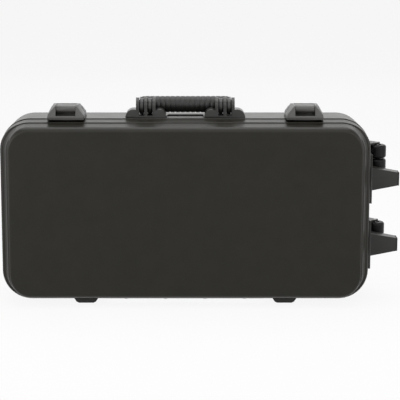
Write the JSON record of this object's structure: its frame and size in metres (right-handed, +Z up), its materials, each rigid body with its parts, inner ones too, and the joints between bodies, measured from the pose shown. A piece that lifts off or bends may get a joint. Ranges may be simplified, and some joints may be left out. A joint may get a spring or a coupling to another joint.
{
  "type": "guitar pedal case",
  "caption": "Shallow hinged carry case with rounded corners, folding handle, two top latches, stand feet and wheels on one end, and a lined bay with a pedal board.",
  "frame": {"origin": "on the floor under the middle of the whole case, wheels and stand feet included", "axes": "+X along the length towards the wheels, +Y from the lid to the back, +Z up"},
  "size_m": [0.651, 0.15, 0.3363],
  "materials": {
    "shell": "pebbled",
    "trim": "moulded, satin",
    "grip": "ribbed",
    "foam": "open-cell foam",
    "board": "plain",
    "pile": "looped",
    "steel": "satin",
    "tyre": "matte",
    "pad": "matte",
    "seal": "matte"
  },
  "bodies": {
    "base": {"base_shell": "shell", "rim_seal": "seal", "back_foam_pad": "foam", "side_foam_ring": "foam", "pedal_board": "board", "loop_pile": "pile", "base_hinge_leaf": "steel", "hinge_rod": "steel", "base_feet": "trim", "left_latch_plate": "trim", "right_latch_plate": "trim", "left_cover_rod": "steel", "right_cover_rod": "steel", "left_handle_bracket": "trim", "right_handle_bracket": "trim", "left_handle_pin": "steel", "right_handle_pin": "steel", "upper_wheel_fork": "trim", "lower_wheel_fork": "trim", "upper_axle": "steel", "lower_axle": "steel", "upper_stand_foot": "trim", "lower_stand_foot": "trim", "stand_pads": "pad", "latch_screws": "steel", "handle_screws": "steel", "fork_screws": "steel", "stand_screws": "steel", "base_hinge_screws": "steel"},
    "lid": {"lid_shell": "shell", "lid_foam_pad": "foam", "lid_hinge_leaf": "steel", "lid_feet": "trim", "left_strike": "steel", "right_strike": "steel", "lid_hinge_screws": "steel"},
    "left_cover": {"left_latch_cover": "trim", "left_trigger_pin": "steel", "left_trigger_spring": "steel"},
    "right_cover": {"right_latch_cover": "trim", "right_trigger_pin": "steel", "right_trigger_spring": "steel"},
    "left_release": {"left_trigger": "trim"},
    "right_release": {"right_trigger": "trim"},
    "handle": {"handle_frame": "trim", "handle_grip": "grip"},
    "upper_top_wheel": {"upper_top_hub": "trim", "upper_top_tyre": "tyre"},
    "upper_low_wheel": {"upper_low_hub": "trim", "upper_low_tyre": "tyre"},
    "lower_top_wheel": {"lower_top_hub": "trim", "lower_top_tyre": "tyre"},
    "lower_low_wheel": {"lower_low_hub": "trim", "lower_low_tyre": "tyre"}
  },
  "joints": [
    {"name": "lid_hinge", "type": "hinge", "parent": "base", "child": "lid", "pos_m": [-0.0255, -0.023, 0.006], "axis": [1, 0, 0], "range_deg": [0, 110]},
    {"name": "left_latch", "type": "hinge", "parent": "base", "child": "left_cover", "pos_m": [-0.2185, 0.002, 0.3125], "axis": [-1, 0, 0], "range_deg": [0, 100]},
    {"name": "left_trigger_pivot", "type": "hinge", "parent": "left_cover", "child": "left_release", "pos_m": [-0.2185, -0.019, 0.3195], "axis": [-1, 0, 0], "range_deg": [0, 22], "stiffness_Nm_per_rad": 0.02, "springref_deg": -17.19},
    {"name": "right_latch", "type": "hinge", "parent": "base", "child": "right_cover", "pos_m": [0.1675, 0.002, 0.3125], "axis": [-1, 0, 0], "range_deg": [0, 100]},
    {"name": "right_trigger_pivot", "type": "hinge", "parent": "right_cover", "child": "right_release", "pos_m": [0.1675, -0.019, 0.3195], "axis": [-1, 0, 0], "range_deg": [0, 22], "stiffness_Nm_per_rad": 0.02, "springref_deg": -17.19},
    {"name": "handle_fold", "type": "hinge", "parent": "base", "child": "handle", "pos_m": [-0.0255, -0.0036, 0.3219], "axis": [1, 0, 0], "range_deg": [0, 90]},
    {"name": "upper_top_wheel_spin", "type": "hinge", "parent": "base", "child": "upper_top_wheel", "pos_m": [0.2935, 0.032, 0.24235], "axis": [0, 0, 1], "continuous": true},
    {"name": "upper_low_wheel_spin", "type": "hinge", "parent": "base", "child": "upper_low_wheel", "pos_m": [0.2935, 0.032, 0.21915], "axis": [0, 0, 1], "continuous": true},
    {"name": "lower_top_wheel_spin", "type": "hinge", "parent": "base", "child": "lower_top_wheel", "pos_m": [0.2935, 0.032, 0.11135], "axis": [0, 0, 1], "continuous": true},
    {"name": "lower_low_wheel_spin", "type": "hinge", "parent": "base", "child": "lower_low_wheel", "pos_m": [0.2935, 0.032, 0.08815], "axis": [0, 0, 1], "continuous": true}
  ]
}
